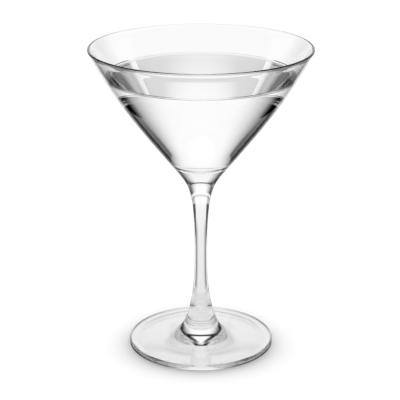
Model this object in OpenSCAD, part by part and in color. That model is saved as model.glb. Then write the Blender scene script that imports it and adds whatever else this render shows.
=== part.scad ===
/* [Bowl] */
// Width across the rim, outside
rim_d = 115.8; // [104:0.1:140]
// Height of the rim above the table
rim_z = 162.85; // [145:0.05:196]
// Height at which the bowl's side starts, above the neck
bowl_z = 99.7; // [97:0.1:106]
// Width of the glass where the bowl's side starts
bowl_base_d = 29.9; // [26:0.1:36]
// Lean of the bowl's side from upright where it starts, in degrees
base_lean = 38.8; // [36:0.1:42]
// Lean of the bowl's side from upright at the rim, in degrees
rim_lean = 27.8; // [22:0.1:32]

/* [Wall] */
// Thickness of the wall at the rim
rim_wall = 1.45; // [1:0.05:2]
// Thickness of the wall where the bowl's side starts
base_wall = 1.7; // [1.3:0.05:2.4]
// Height of the lowest point of the bowl's inside
cavity_z = 100; // [98:0.1:103]
// Height up to which the bowl's inside is rounded
round_z = 112.3; // [108:0.1:118]

/* [Stem] */
// Width of the stem at its waist
waist_d = 6.8; // [5.5:0.05:9]
// Height of the waist's lower end
waist_low_z = 45; // [36:1:54]
// Height of the waist's upper end
waist_high_z = 60; // [55:1:70]
// Width of the neck, where the stem starts to widen into the bowl
neck_d = 9.5; // [8:0.1:12]
// Height at which the neck's width is taken
neck_z = 79.6; // [76:0.1:84]
// Lean of the neck's side from upright, in degrees
neck_lean = 9.5; // [5:0.1:14]

/* [Foot] */
// Width of the foot
foot_d = 77.4; // [64:0.2:94]
// Thickness of the foot's round edge
edge_t = 2.8; // [2:0.1:4]
// Width of the stem's root, where it spreads into the foot
root_d = 28; // [22:0.5:34]
// Height of the foot's upper face at the root
root_z = 5.6; // [4.5:0.1:7.5]
// Lean of the upper face from upright at the root, towards the stem, in degrees
root_lean = 66; // [60:0.5:75]
// Width of the flat ring that the foot stands on
ring_w = 2.4; // [1.5:0.1:4]
// Height of the hollow under the foot, at its middle
hollow_h = 2; // [1:0.1:3]

/* [Drink] */
// Height of the drink's level surface
drink_z = 148.4; // [115:0.1:156]
// Height that the drink's edge climbs up the wall
climb_h = 0.2; // [0.1:0.05:1.5]
// Width of the part of the surface that curves up to the wall
climb_w = 2.7; // [1:0.1:4]

/* [Hidden] */
$fn = 96;

// Steps along a long curve and round a small edge
LONG = 24;
SHORT = 10;

lip_r = rim_wall / 2;
lip = [rim_d / 2 - lip_r, rim_z - lip_r];
side_start = [bowl_base_d / 2, bowl_z];
side_end = lip + lip_r * [cos(rim_lean), -sin(rim_lean)];

edge_r = edge_t / 2;
edge = [foot_d / 2 - edge_r, edge_r];
hollow_r = edge.x - ring_w;
dome_r = (hollow_r ^ 2 + hollow_h ^ 2) / (2 * hollow_h);
dome_angle = asin(hollow_r / dome_r);

// Every point is [radius, height]. Every lean is from upright, positive outwards and upwards.
function along(lean) = [sin(lean), cos(lean)];

// The point at t, from 0 to 1, on a curve that leaves a and reaches b at their leans.
// A hold says how far the curve keeps to each lean, as a share of the distance from a to b.
function on_curve(a, lean_a, hold_a, b, lean_b, hold_b, t) =
    let (d = norm(b - a))
    let (p = a + hold_a * d * along(lean_a))
    let (q = b - hold_b * d * along(lean_b))
    (1 - t) ^ 3 * a + 3 * (1 - t) ^ 2 * t * p + 3 * (1 - t) * t ^ 2 * q + t ^ 3 * b;

function curve(a, lean_a, hold_a, b, lean_b, hold_b) =
    [for (i = [0:LONG]) on_curve(a, lean_a, hold_a, b, lean_b, hold_b, i / LONG)];

function arc(centre, r, from, to, steps) =
    [for (i = [0:steps]) let (w = from + (to - from) * i / steps) centre + r * [cos(w), sin(w)]];

// A curve without its first point, which is where the one before it ended
function next(points) = [for (i = [1:len(points) - 1]) points[i]];

// The bowl's side, outside and inside, from its start at t = 0 to the rim at t = 1
function side(t) = on_curve(side_start, base_lean, 0.42, side_end, rim_lean, 0.384, t);
function side_heading(t) =
    let (step = side(min(t + 0.01, 1)) - side(max(t - 0.01, 0)))
    step / norm(step);
function inside(t) =
    let (wall = base_wall + (rim_wall - base_wall) * t)
    let (heading = side_heading(t))
    side(t) + wall * [-heading.y, heading.x];

// The t at which the inside reaches height z, found by halving
function t_at(z, low = 0, high = 1, halvings = 30) =
    let (mid = (low + high) / 2)
    halvings == 0 ? mid :
    inside(mid).y < z ? t_at(z, mid, high, halvings - 1) : t_at(z, low, mid, halvings - 1);

// The inside of the bowl from its lowest point up to t, rounded as far as round_t
round_t = t_at(round_z);
function cavity(t) =
    let (heading = side_heading(round_t))
    concat(
        curve([0, cavity_z], 90, 0.29, inside(round_t), atan2(heading.x, heading.y), 0.4),
        [for (i = [1:LONG]) inside(round_t + (t - round_t) * i / LONG)]);

function backwards(points) = [for (i = [len(points) - 1:-1:0]) points[i]];

function foot_outline() = concat(
    backwards(arc([0, hollow_h - dome_r], dome_r, 90 - dome_angle, 90, LONG)),
    arc(edge, edge_r, -90, 90, SHORT));

function stem_outline() =
    let (root = [root_d / 2, root_z])
    let (waist_low = [waist_d / 2, waist_low_z])
    let (waist_high = [waist_d / 2, waist_high_z])
    let (neck = [neck_d / 2, neck_z])
    concat(
        next(curve(foot_outline()[LONG + SHORT + 1], -89, 0.4, root, -root_lean, 0.25)),
        next(curve(root, -root_lean, 0.27, waist_low, 0, 0.08)),
        next(curve(waist_high, 0, 0.32, neck, neck_lean, 0.1)),
        next(curve(neck, neck_lean, 0.45, side_start, base_lean, 0.41)));

module glass() {
    outside = [for (i = [1:LONG]) side(i / LONG)];
    brim = arc(lip, lip_r, -rim_lean, 180 - rim_lean, SHORT);
    color([0.93, 0.95, 0.95, 0.35])
        rotate_extrude()
            polygon(concat(
                foot_outline(), stem_outline(), outside, next(brim), next(backwards(cavity(1)))));
}

module drink() {
    touch = inside(t_at(drink_z + climb_h));
    level = [touch.x - climb_w, drink_z];
    color([0.96, 0.97, 0.96, 0.5])
        rotate_extrude()
            polygon(concat(
                cavity(t_at(drink_z + climb_h)),
                next(backwards(curve(level, 90, 0.58, touch, rim_lean, 0.42))),
                [[0, drink_z]]));
}

glass();
drink();
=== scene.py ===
"""A clear cocktail in its stemmed glass, on a white studio floor. All sizes are in metres."""

import bpy
import math
import numpy as np
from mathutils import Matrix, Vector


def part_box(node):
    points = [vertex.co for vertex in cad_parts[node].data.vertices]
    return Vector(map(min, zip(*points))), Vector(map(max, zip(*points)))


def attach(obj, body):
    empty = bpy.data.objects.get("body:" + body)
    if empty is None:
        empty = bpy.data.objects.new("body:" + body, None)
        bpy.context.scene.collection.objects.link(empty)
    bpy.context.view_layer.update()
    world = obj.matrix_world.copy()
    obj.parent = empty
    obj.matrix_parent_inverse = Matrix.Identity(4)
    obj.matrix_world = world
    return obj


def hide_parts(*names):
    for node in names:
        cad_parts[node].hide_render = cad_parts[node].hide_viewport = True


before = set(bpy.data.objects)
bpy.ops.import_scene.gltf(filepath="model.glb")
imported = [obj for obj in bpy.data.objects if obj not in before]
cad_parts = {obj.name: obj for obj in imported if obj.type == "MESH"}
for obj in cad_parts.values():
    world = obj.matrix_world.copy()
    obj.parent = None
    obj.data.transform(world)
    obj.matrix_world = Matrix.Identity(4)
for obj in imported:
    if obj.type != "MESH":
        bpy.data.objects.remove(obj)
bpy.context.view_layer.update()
MM = 0.001

# Shapes: stretches in a full turn, the longest step along a curve, how far the drink's side reaches
# into the wall, and the height below which the glass is its foot
SEGMENTS = 256
STEP = 0.9 * MM
WALL_REACH = 0.15 * MM
FOOT_HEIGHT = 10 * MM

# How near a point counts as on the outline's plane, on the axis and at the drink's top, and the
# decimals of a millimetre to which two points count as one
ON_PLANE = 1e-8
ON_AXIS = 1e-7
AT_TOP = 1e-6
SAME_POINT = 4

# How much the glass and the drink bend light
GLASS_IOR = 1.5
DRINK_IOR = 1.345

# Tints of the glass and the drink, from one end of their drift to the other
GLASS_TINT = ((0.975, 0.98, 0.98), (1, 1, 1))
DRINK_TINT = ((0.985, 0.985, 0.98), (1, 1, 1))
TINT_SCALE = 30
# The faint waves on the glass
RIPPLE = 0.004 * MM
RIPPLE_SCALE = 60
NOISE_DETAIL = 1

# The studio. Only light that comes to the eye through or off the glass sees it: the camera sees plain
# white instead, and the floor is lit evenly. Turns are in degrees from straight behind the glass and
# heights in degrees above the horizon. A pair is where a soft edge starts and ends.
BACKDROP_LIGHT = 1.06
SIDE_LIGHT = 0.5
TOP_LIGHT = 0.95
TOP_EDGE = (60, 79)
# A dark flag to each side
FLAG_START = (10, 42)
FLAG_END = (50, 70)
FLAG_FOOT = (0, 4)
# Where the backdrop goes dark, and where a narrower one starts above it
BACKDROP_TOP = (28, 33)
UPPER_BACKDROP = (36, 40)
UPPER_BACKDROP_SIDE = (15, 30)

# The floor as only the glass sees it, with painted shade in its colour, at distances in metres from
# the axis. A value with DARK or DIM in its name and no pair is the share of the light taken away.
# Painted shade: a black patch in place of a flag, just outside the picture, which is weaker far away
FLOOR_PAINTED_FLAG_START = (22.5, 35)
FLOOR_PAINTED_FLAG_END = (57, 69)
FLOOR_PAINTED_FLAG_FAR = (0.4, 0.55)
FLOOR_PAINTED_FLAG_FAR_DARK = 0.5
# Painted shade: a dark patch in place of a flag near the glass, partly inside the picture
NEAR_PAINTED_FLAG_START = (12, 45)
NEAR_PAINTED_FLAG_END = (38, 48)
NEAR_PAINTED_FLAG_IN = (0.042, 0.055)
NEAR_PAINTED_FLAG_OUT = (0.2, 0.3)
# Painted shade all round, near the glass and far away
FLOOR_DIM = 0.2
FLOOR_DIM_EDGE = (0.05, 0.6)
FLOOR_FADE = (0.95, 1.5)
FLOOR_FADE_DARK = 0.28

# The painted contact shadow in the floor's colour, which the camera sees too, as shares of the light
# taken away. It falls off over SHADOW_REACH from the foot's edge, and is stronger in front than
# behind.
SHADOW_FRONT = 0.6
SHADOW_BACK = 0.2
SHADOW_TURN = (60, 150)
SHADOW_REACH = 6.5 * MM
# Painted shade under the foot, and a painted dark ring under its edge. SHADOW_EDGE is measured from
# the edge, negative inwards, and is where the ring starts.
SHADOW_UNDER = 0.02
SHADOW_EDGE = (-1.6 * MM, -0.6 * MM)
SHADOW_EDGE_DARK = 0.97
SHADOW_EDGE_START = (0, 80)
SHADOW_EDGE_END = (150, 172)

# The floor, from the axis to each side and below the part, and the even light on it
FLOOR_SIZE = 6.0
FLOOR_GAP = 0.02 * MM
FLOOR_COLOUR = 0.9
FLOOR_ROUGHNESS = 0.8
ROOM_LIGHT = 1.16

# Camera
CAMERA_AT = (-0.5 * MM, -692.9 * MM, 321.6 * MM)
CAMERA_PITCH = 19.196
CAMERA_LENS = 125.05
SENSOR_WIDTH = 36
# Two lines on the floor run just outside the picture where they pass the glass and behind it: the Y
# where they meet, and how far each moves to its side for each metre of Y
PICTURE_START = 1.09 * CAMERA_AT[1]
PICTURE_SLOPE = 0.147

# The most times that light may bend or bounce
BOUNCES = 24


def outline(node):
    """The node's outline as [radius, height] points, from its lower end on the axis to its upper."""
    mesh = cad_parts[node].data
    places = np.array([v.co for v in mesh.vertices])
    on_seam = (abs(places[:, 1]) < ON_PLANE) & (places[:, 0] > -ON_PLANE)
    keys = [tuple(np.round(p[[0, 2]] / MM, SAME_POINT)) for p in places]
    beside = {}
    for edge in mesh.edges:
        a, b = edge.vertices
        if on_seam[a] and on_seam[b] and keys[a] != keys[b]:
            beside.setdefault(keys[a], set()).add(keys[b])
            beside.setdefault(keys[b], set()).add(keys[a])
    start = min((k for k in beside if len(beside[k]) == 1), key=lambda k: k[1])
    path = [start]
    while True:
        onward = [k for k in beside[path[-1]] if len(path) < 2 or k != path[-2]]
        if not onward:
            return np.array(path) * MM
        path.append(onward[0])


def foot_radius():
    """The greatest radius of the glass near the floor."""
    line = outline("glass")
    return float(line[line[:, 1] < FOOT_HEIGHT, 0].max())


def run_length(points):
    """The distance along the line to each of its points."""
    steps = np.hypot(*np.diff(points, axis=0).T)
    return np.concatenate([[0], np.cumsum(steps)])


def smooth_line(points):
    """The same line with curved stretches between its points, which stay where they are."""
    at = run_length(points)
    slopes = np.gradient(points, at, axis=0)
    line = []
    for i in range(len(points) - 1):
        gap = at[i + 1] - at[i]
        for t in np.linspace(0, 1, max(2, math.ceil(gap / STEP)), endpoint=False):
            line.append(
                (1 + 2 * t) * (1 - t) ** 2 * points[i]
                + t * (1 - t) ** 2 * gap * slopes[i]
                + t * t * (3 - 2 * t) * points[i + 1]
                + t * t * (t - 1) * gap * slopes[i + 1]
            )
    return np.array(line + [points[-1]])


def node_line(node):
    """The node's outline with its curves smoothed, kept within the node's own box."""
    line = smooth_line(outline(node))
    low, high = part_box(node)
    return np.stack([np.clip(line[:, 0], 0, high.x), np.clip(line[:, 1], low.z, high.z)], axis=1)


def lathe(name, line, materials, kinds):
    """A closed mesh made by turning a line of [radius, height] points about the Z axis.

    kinds says which of the materials each stretch between two points has."""
    turns = [2 * math.pi * i / SEGMENTS for i in range(SEGMENTS)]
    vertices, rings = [], []
    for radius, height in line:
        if radius < ON_AXIS:
            rings.append([len(vertices)] * SEGMENTS)
            vertices.append((0, 0, height))
            continue
        rings.append(list(range(len(vertices), len(vertices) + SEGMENTS)))
        vertices += [(radius * math.cos(a), radius * math.sin(a), height) for a in turns]
    faces = []
    for low, high in zip(rings, rings[1:]):
        for i in range(SEGMENTS):
            j = (i + 1) % SEGMENTS
            corners = [low[i], low[j], high[j], high[i]]
            faces.append(list(dict.fromkeys(corners)))
    mesh = bpy.data.meshes.new(name)
    mesh.from_pydata(vertices, [], faces)
    mesh.polygons.foreach_set("use_smooth", [True] * len(mesh.polygons))
    for material in materials:
        mesh.materials.append(material)
    mesh.polygons.foreach_set("material_index", np.repeat(kinds, SEGMENTS))
    mesh.update()
    piece = bpy.data.objects.new(name, mesh)
    bpy.context.scene.collection.objects.link(piece)
    return piece


def clear_material(name, ior, tint, ripple):
    """Clear and smooth. Its tint drifts a little between its two ends, and ripple is the height
    of the faint waves on its surface."""
    material = bpy.data.materials.new(name)
    material.use_nodes = True
    tree = material.node_tree
    shader = tree.nodes["Principled BSDF"]
    shader.inputs["Roughness"].default_value = 0
    shader.inputs["IOR"].default_value = ior
    shader.inputs["Transmission Weight"].default_value = 1
    place = tree.nodes.new("ShaderNodeTexCoord").outputs["Object"]
    drift = noise(tree, place, TINT_SCALE)
    colours = tree.nodes.new("ShaderNodeValToRGB")
    for stop, colour in zip(colours.color_ramp.elements, tint):
        stop.color = (*colour, 1)
    tree.links.new(drift, colours.inputs[0])
    tree.links.new(colours.outputs[0], shader.inputs["Base Color"])
    bump = tree.nodes.new("ShaderNodeBump")
    bump.inputs["Distance"].default_value = ripple
    tree.links.new(noise(tree, place, RIPPLE_SCALE), bump.inputs["Height"])
    tree.links.new(bump.outputs[0], shader.inputs["Normal"])
    return material


def noise(tree, place, scale):
    """The output of a new Noise texture at a place."""
    node = tree.nodes.new("ShaderNodeTexNoise")
    node.inputs["Scale"].default_value = scale
    node.inputs["Detail"].default_value = NOISE_DETAIL
    tree.links.new(place, node.inputs["Vector"])
    return node.outputs[0]


def make_glass():
    line = node_line("glass")
    drink_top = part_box("drink")[1].z
    inside = np.arange(len(line)) > np.argmax(line[:, 1])
    wet = (inside & (line[:, 1] < drink_top - AT_TOP))[1:]
    materials = [
        clear_material("glass_clear", GLASS_IOR, GLASS_TINT, RIPPLE),
        clear_material("glass_wet", GLASS_IOR / DRINK_IOR, GLASS_TINT, RIPPLE),
    ]
    piece = lathe("clear_glass", line, materials, wet.astype(int))
    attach(piece, "root")
    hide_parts("glass")


def make_drink():
    line = node_line("drink")
    rim = int(np.argmax(line[:, 0]))
    along = np.gradient(line, axis=0)
    along /= np.linalg.norm(along, axis=1)[:, None]
    outwards = np.stack([along[:, 1], -along[:, 0]], axis=1)
    line[: rim + 1] += WALL_REACH * outwards[: rim + 1]
    line[0, 0] = 0
    materials = [
        clear_material("drink_surface", DRINK_IOR, DRINK_TINT, 0),
        clear_material("drink_side", 1.0, DRINK_TINT, 0),
    ]
    touches = np.arange(len(line) - 1) < rim
    piece = lathe("clear_drink", line, materials, touches.astype(int))
    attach(piece, "root")
    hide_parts("drink")


def make_camera():
    data = bpy.data.cameras.new("camera")
    data.lens = CAMERA_LENS
    data.sensor_width = SENSOR_WIDTH
    camera = bpy.data.objects.new("camera", data)
    camera.location = CAMERA_AT
    camera.rotation_euler = (math.radians(90 - CAMERA_PITCH), 0, 0)
    bpy.context.scene.collection.objects.link(camera)
    bpy.context.scene.camera = camera


def node_math(tree, operation, *values):
    """The output of a new Math node. Each value is a number or another node's output."""
    node = tree.nodes.new("ShaderNodeMath")
    node.operation = operation
    for socket, value in zip(node.inputs, values):
        if isinstance(value, (int, float)):
            socket.default_value = value
        else:
            tree.links.new(value, socket)
    return node.outputs[0]


def without(tree, share):
    """What is left of 1 when a share is taken away."""
    return node_math(tree, "SUBTRACT", 1.0, share)


def product(tree, first, *others):
    """All the values multiplied together."""
    for other in others:
        first = node_math(tree, "MULTIPLY", first, other)
    return first


def mix(tree, share, a, b):
    """a where share is 0, b where it is 1."""
    return node_math(tree, "ADD", product(tree, without(tree, share), a), product(tree, share, b))


def rising(tree, value, edge):
    """Goes softly from 0 to 1 while value passes the edge."""
    node = tree.nodes.new("ShaderNodeMapRange")
    node.interpolation_type = "SMOOTHSTEP"
    tree.links.new(value, node.inputs["Value"])
    node.inputs["From Min"].default_value = edge[0]
    node.inputs["From Max"].default_value = edge[1]
    return node.outputs["Result"]


def falling(tree, value, edge):
    """Goes softly from 1 to 0 while value passes the edge."""
    return without(tree, rising(tree, value, edge))


def split(tree, vector):
    """The X, Y and Z of a vector."""
    node = tree.nodes.new("ShaderNodeSeparateXYZ")
    tree.links.new(vector, node.inputs[0])
    return node.outputs


def turn_from_behind(tree, x, y):
    """Degrees round the axis from straight behind the glass, the same to both sides."""
    return node_math(tree, "DEGREES", node_math(tree, "ARCTAN2", node_math(tree, "ABSOLUTE", x), y))


def seen_by_glass(tree):
    """1 for light on its way through or off the glass to the eye, 0 for everything else."""
    path = tree.nodes.new("ShaderNodeLightPath")
    direct = node_math(tree, "GREATER_THAN", path.outputs["Is Camera Ray"], 0.5)
    lit = node_math(tree, "GREATER_THAN", path.outputs["Diffuse Depth"], 0.5)
    return without(tree, node_math(tree, "MAXIMUM", direct, lit))


def seen_by_camera(tree):
    return tree.nodes.new("ShaderNodeLightPath").outputs["Is Camera Ray"]


def painted_floor_light(tree, x, y, turn, away):
    """The share of the floor's light that the glass sees at a place, as painted shade in the floor's
    colour.
    """
    picture_side = product(tree, node_math(tree, "SUBTRACT", y, PICTURE_START), PICTURE_SLOPE)
    # Painted shade in the floor's colour: dark patches in place of flags, and dimming near and far
    flag = product(
        tree,
        rising(tree, turn, FLOOR_PAINTED_FLAG_START),
        falling(tree, turn, FLOOR_PAINTED_FLAG_END),
        node_math(tree, "GREATER_THAN", node_math(tree, "ABSOLUTE", x), picture_side),
        mix(tree, rising(tree, away, FLOOR_PAINTED_FLAG_FAR), 1.0, FLOOR_PAINTED_FLAG_FAR_DARK),
    )
    painted_near_flag = product(
        tree,
        rising(tree, turn, NEAR_PAINTED_FLAG_START),
        falling(tree, turn, NEAR_PAINTED_FLAG_END),
        rising(tree, away, NEAR_PAINTED_FLAG_IN),
        falling(tree, away, NEAR_PAINTED_FLAG_OUT),
    )
    fade = product(tree, rising(tree, away, FLOOR_FADE), FLOOR_FADE_DARK)
    dim = product(tree, falling(tree, away, FLOOR_DIM_EDGE), FLOOR_DIM)
    return product(tree, *(without(tree, share) for share in (flag, painted_near_flag, fade, dim)))


def painted_contact_shadow(tree, turn, away):
    """The share of light taken away by the painted shadow of the foot, in the floor's colour round it
    and under it.
    """
    from_foot = node_math(tree, "SUBTRACT", away, foot_radius())
    beyond = node_math(tree, "MAXIMUM", from_foot, 0.0)
    nearness = node_math(tree, "EXPONENT", product(tree, beyond, -1 / SHADOW_REACH))
    deepest = mix(tree, rising(tree, turn, SHADOW_TURN), SHADOW_BACK, SHADOW_FRONT)
    ring = product(
        tree,
        rising(tree, from_foot, SHADOW_EDGE),
        rising(tree, turn, SHADOW_EDGE_START),
        falling(tree, turn, SHADOW_EDGE_END),
    )
    under = mix(tree, ring, SHADOW_UNDER, SHADOW_EDGE_DARK)
    is_under = node_math(tree, "LESS_THAN", from_foot, 0.0)
    return mix(tree, is_under, product(tree, nearness, deepest), under)


def floor_material():
    material = bpy.data.materials.new("floor_white_painted_shade")
    material.use_nodes = True
    tree = material.node_tree
    shader = tree.nodes["Principled BSDF"]
    shader.inputs["Roughness"].default_value = FLOOR_ROUGHNESS
    shader.inputs["Specular IOR Level"].default_value = 0
    x, y, _ = split(tree, tree.nodes.new("ShaderNodeNewGeometry").outputs["Position"])
    turn = turn_from_behind(tree, x, y)
    square = node_math(tree, "ADD", product(tree, x, x), product(tree, y, y))
    away = node_math(tree, "SQRT", square)
    # The floor's colour holds painted shade: patches that only the glass sees, and the painted
    # contact shadow that the camera sees too
    light = mix(tree, seen_by_glass(tree), 1.0, painted_floor_light(tree, x, y, turn, away))
    lit = without(tree, painted_contact_shadow(tree, turn, away))
    tree.links.new(product(tree, light, lit, FLOOR_COLOUR), shader.inputs["Base Color"])
    return material


def make_floor():
    corners = [(-1, -1), (1, -1), (1, 1), (-1, 1)]
    places = [(x * FLOOR_SIZE, y * FLOOR_SIZE, -FLOOR_GAP) for x, y in corners]
    mesh = bpy.data.meshes.new("floor")
    mesh.from_pydata(places, [], [(0, 1, 2, 3)])
    mesh.materials.append(floor_material())
    floor = bpy.data.objects.new("floor", mesh)
    bpy.context.scene.collection.objects.link(floor)


def studio_light(tree, turn, height):
    """The light that the glass sees in a direction."""
    flag = product(
        tree,
        rising(tree, turn, FLAG_START),
        falling(tree, turn, FLAG_END),
        rising(tree, height, FLAG_FOOT),
    )
    upper = product(
        tree, rising(tree, height, UPPER_BACKDROP), falling(tree, turn, UPPER_BACKDROP_SIDE)
    )
    gap = product(tree, rising(tree, height, BACKDROP_TOP), without(tree, upper))
    low = mix(tree, rising(tree, turn, FLAG_END), BACKDROP_LIGHT, SIDE_LIGHT)
    low = product(tree, low, without(tree, flag), without(tree, gap))
    return mix(tree, rising(tree, height, TOP_EDGE), low, TOP_LIGHT)


def make_world():
    world = bpy.data.worlds.new("studio")
    bpy.context.scene.world = world
    world.use_nodes = True
    world.cycles.sampling_method = "NONE"
    tree = world.node_tree
    x, y, z = split(tree, tree.nodes.new("ShaderNodeTexCoord").outputs["Generated"])
    turn = turn_from_behind(tree, x, y)
    height = node_math(tree, "DEGREES", node_math(tree, "ARCSINE", z))
    room = mix(tree, seen_by_camera(tree), ROOM_LIGHT, 1.0)
    strength = mix(tree, seen_by_glass(tree), room, studio_light(tree, turn, height))
    background = tree.nodes["Background"]
    background.inputs["Color"].default_value = (1, 1, 1, 1)
    tree.links.new(strength, background.inputs["Strength"])


def set_rendering():
    scene = bpy.context.scene
    scene.view_settings.view_transform = "Standard"
    scene.cycles.blur_glossy = 0
    scene.cycles.max_bounces = BOUNCES
    scene.cycles.transmission_bounces = BOUNCES
    scene.cycles.glossy_bounces = BOUNCES


make_camera()
make_glass()
make_drink()
make_floor()
make_world()
set_rendering()
